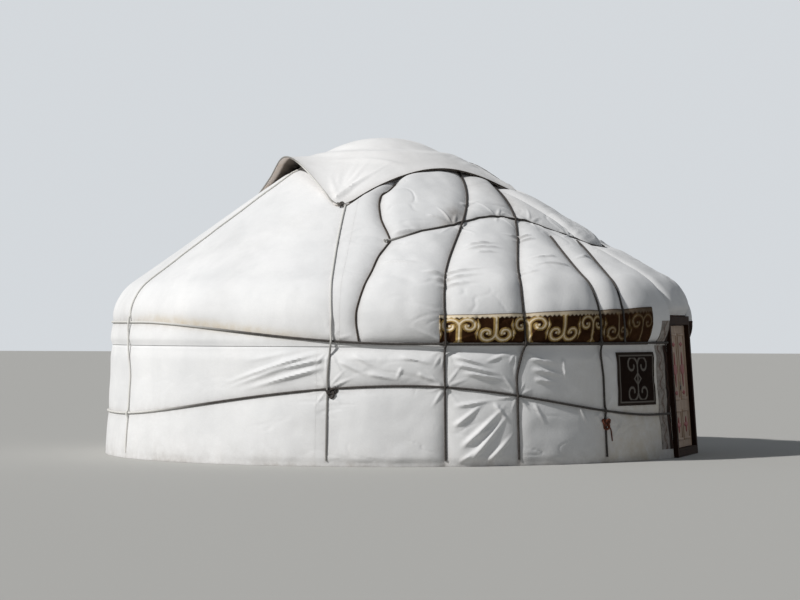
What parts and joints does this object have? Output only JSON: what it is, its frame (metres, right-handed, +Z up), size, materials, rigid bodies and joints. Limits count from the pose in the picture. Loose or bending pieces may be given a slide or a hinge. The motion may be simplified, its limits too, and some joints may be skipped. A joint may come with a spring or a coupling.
{
  "type": "yurt",
  "caption": "Round felt tent on a wooden lattice wall with bent roof poles, a crown ring under a square felt cover, ropes, ornament bands and a double door.",
  "frame": {"origin": "on the ground, at the middle of the round base", "axes": "+Z up, the door faces -Y, +X to the right of someone who faces the door"},
  "size_m": [6.5496, 6.5, 3.4875],
  "materials": {
    "lattice_wood": "bare",
    "red_wood": "painted, worn",
    "wall_felt": "matt",
    "roof_felt": "matt",
    "cover_felt": "matt",
    "frame_wood": "dark, worn",
    "door_wood": "painted, worn",
    "band_wool": "woven",
    "panel_felt": "matt",
    "rope": "twisted hair"
  },
  "bodies": {
    "structure": {"lattice_front_left": "lattice_wood", "lattice_left": "lattice_wood", "lattice_rear_left": "lattice_wood", "lattice_back_left": "lattice_wood", "lattice_back_right": "lattice_wood", "lattice_rear_right": "lattice_wood", "lattice_right": "lattice_wood", "lattice_front_right": "lattice_wood", "roof_poles_front_left": "red_wood", "roof_poles_left": "red_wood", "roof_poles_rear_left": "red_wood", "roof_poles_back_left": "red_wood", "roof_poles_back_right": "red_wood", "roof_poles_rear_right": "red_wood", "roof_poles_right": "red_wood", "roof_poles_front_right": "red_wood", "crown_ring": "red_wood", "crown_bars": "red_wood", "wall_felt_front_left": "wall_felt", "wall_felt_front_right": "wall_felt", "wall_felt_back_left": "wall_felt", "wall_felt_back_right": "wall_felt", "roof_felt_front_left": "roof_felt", "roof_felt_front_right": "roof_felt", "roof_felt_back_left": "roof_felt", "roof_felt_back_right": "roof_felt", "roof_felt_over_door": "roof_felt", "crown_cover": "cover_felt", "jamb_left": "frame_wood", "jamb_right": "frame_wood", "lintel": "frame_wood", "threshold": "frame_wood", "ornament_band_left": "band_wool", "ornament_band_right": "band_wool", "ornament_panel_left": "panel_felt", "ornament_panel_right": "panel_felt", "eave_rope": "rope", "wall_rope": "rope", "roof_rope": "rope", "down_ropes_left": "rope", "down_ropes_right": "rope"},
    "leaf_left": {"door_leaf_left": "door_wood"},
    "leaf_right": {"door_leaf_right": "door_wood"}
  },
  "joints": [
    {"name": "door_left", "type": "hinge", "parent": "structure", "child": "leaf_left", "pos_m": [-0.455, -3.13583, 0.74385], "axis": [0, -0.0698, -0.9976], "range_deg": [0, 90]},
    {"name": "door_right", "type": "hinge", "parent": "structure", "child": "leaf_right", "pos_m": [0.455, -3.13583, 0.74385], "axis": [0, 0.0698, 0.9976], "range_deg": [0, 90]}
  ]
}
